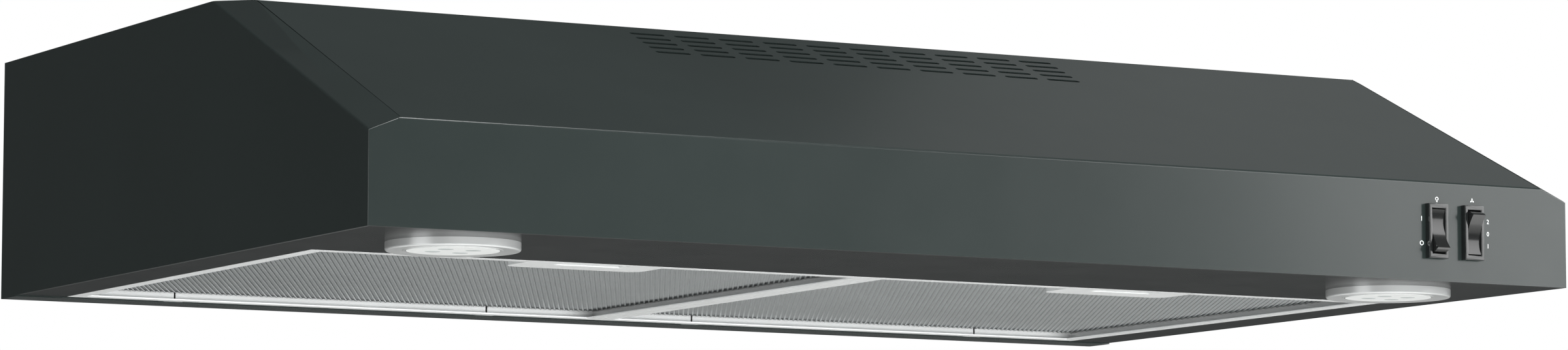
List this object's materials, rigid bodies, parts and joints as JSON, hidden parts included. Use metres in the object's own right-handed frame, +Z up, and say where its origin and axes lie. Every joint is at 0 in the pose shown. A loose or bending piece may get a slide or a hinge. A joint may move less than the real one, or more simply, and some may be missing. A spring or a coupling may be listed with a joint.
{
  "type": "under cabinet range hood",
  "caption": "Low wedge-shaped kitchen hood that screws under a wall cabinet, with swing-down mesh grease filters, puck lamps, rocker switches and slots in its slope for returned air.",
  "frame": {"origin": "middle of the rear top edge, where the cabinet's underside meets the wall", "axes": "+X to the right seen from the front, +Y into the wall, +Z up into the cabinet"},
  "size_m": [0.7588, 0.5228, 0.1443],
  "materials": {
    "black_steel": "satin black baked enamel",
    "zinc_steel": "galvanised",
    "filter_aluminium": "satin",
    "mesh_aluminium": "expanded mesh",
    "latch_steel": "satin",
    "spring_steel": "bright",
    "lamp_metal": "satin",
    "lamp_diffuser": "translucent",
    "led_board": "solder resist",
    "switch_plastic": "fine texture",
    "rocker_plastic": "satin",
    "terminal_brass": "plain",
    "wheel_aluminium": "rolled",
    "motor_steel": "plain",
    "bright_steel": "zinc plated",
    "capacitor_case": "plain"
  },
  "bodies": {
    "hood": {"canopy_shell": "black_steel", "side_panel_left": "black_steel", "side_panel_right": "black_steel", "back_panel": "black_steel", "bottom_pan": "black_steel", "baffle_plate": "zinc_steel", "blower_housing": "zinc_steel", "motor_bracket": "zinc_steel", "wiring_box": "zinc_steel", "wiring_box_cover": "zinc_steel", "capacitor_strap": "zinc_steel", "lamp_clips_left": "spring_steel", "lamp_clips_right": "spring_steel", "lamp_ring_left": "lamp_metal", "lamp_ring_right": "lamp_metal", "lamp_lens_left": "lamp_diffuser", "lamp_lens_right": "lamp_diffuser", "lamp_board_left": "led_board", "lamp_board_right": "led_board", "light_switch_body": "switch_plastic", "fan_switch_body": "switch_plastic", "switch_terminals": "terminal_brass", "motor": "motor_steel", "blower_screws": "bright_steel", "bracket_screws": "bright_steel", "box_cover_screws": "bright_steel", "capacitor": "capacitor_case"},
    "filter_left": {"filter_frame_left": "filter_aluminium", "filter_mesh_left": "mesh_aluminium", "latch_plate_left": "filter_aluminium", "latch_spring_left": "spring_steel"},
    "filter_right": {"filter_frame_right": "filter_aluminium", "filter_mesh_right": "mesh_aluminium", "latch_plate_right": "filter_aluminium", "latch_spring_right": "spring_steel"},
    "latch_left": {"latch_slider_left": "latch_steel"},
    "latch_right": {"latch_slider_right": "latch_steel"},
    "light_rocker": {"light_rocker": "rocker_plastic"},
    "fan_rocker": {"fan_rocker": "rocker_plastic"},
    "rotor": {"blower_wheel": "wheel_aluminium", "motor_shaft": "bright_steel", "wheel_nut": "bright_steel"}
  },
  "joints": [
    {"name": "filter_left_swing", "type": "hinge", "parent": "hood", "child": "filter_left", "pos_m": [-0.1743, -0.024, -0.1397], "axis": [1, 0, 0], "range_deg": [0, 80]},
    {"name": "latch_left_slide", "type": "slide", "parent": "filter_left", "child": "latch_left", "axis": [0, 1, 0], "range_m": [0, 0.006], "stiffness_N_per_m": 250, "springref_m": -0.004, "deforming": ["latch_spring_left"]},
    {"name": "filter_right_swing", "type": "hinge", "parent": "hood", "child": "filter_right", "pos_m": [0.1743, -0.024, -0.1397], "axis": [1, 0, 0], "range_deg": [0, 80]},
    {"name": "latch_right_slide", "type": "slide", "parent": "filter_right", "child": "latch_right", "axis": [0, 1, 0], "range_m": [0, 0.006], "stiffness_N_per_m": 250, "springref_m": -0.004, "deforming": ["latch_spring_right"]},
    {"name": "light_rocker_tilt", "type": "hinge", "parent": "hood", "child": "light_rocker", "pos_m": [0.287, -0.515, -0.1113], "axis": [1, 0, 0], "range_deg": [0, 26]},
    {"name": "fan_rocker_tilt", "type": "hinge", "parent": "hood", "child": "fan_rocker", "pos_m": [0.3119, -0.515, -0.1113], "axis": [1, 0, 0], "range_deg": [-26, 0]},
    {"name": "blower_spin", "type": "hinge", "parent": "hood", "child": "rotor", "pos_m": [0, -0.165, -0.06], "axis": [0, 0, 1], "continuous": true}
  ]
}
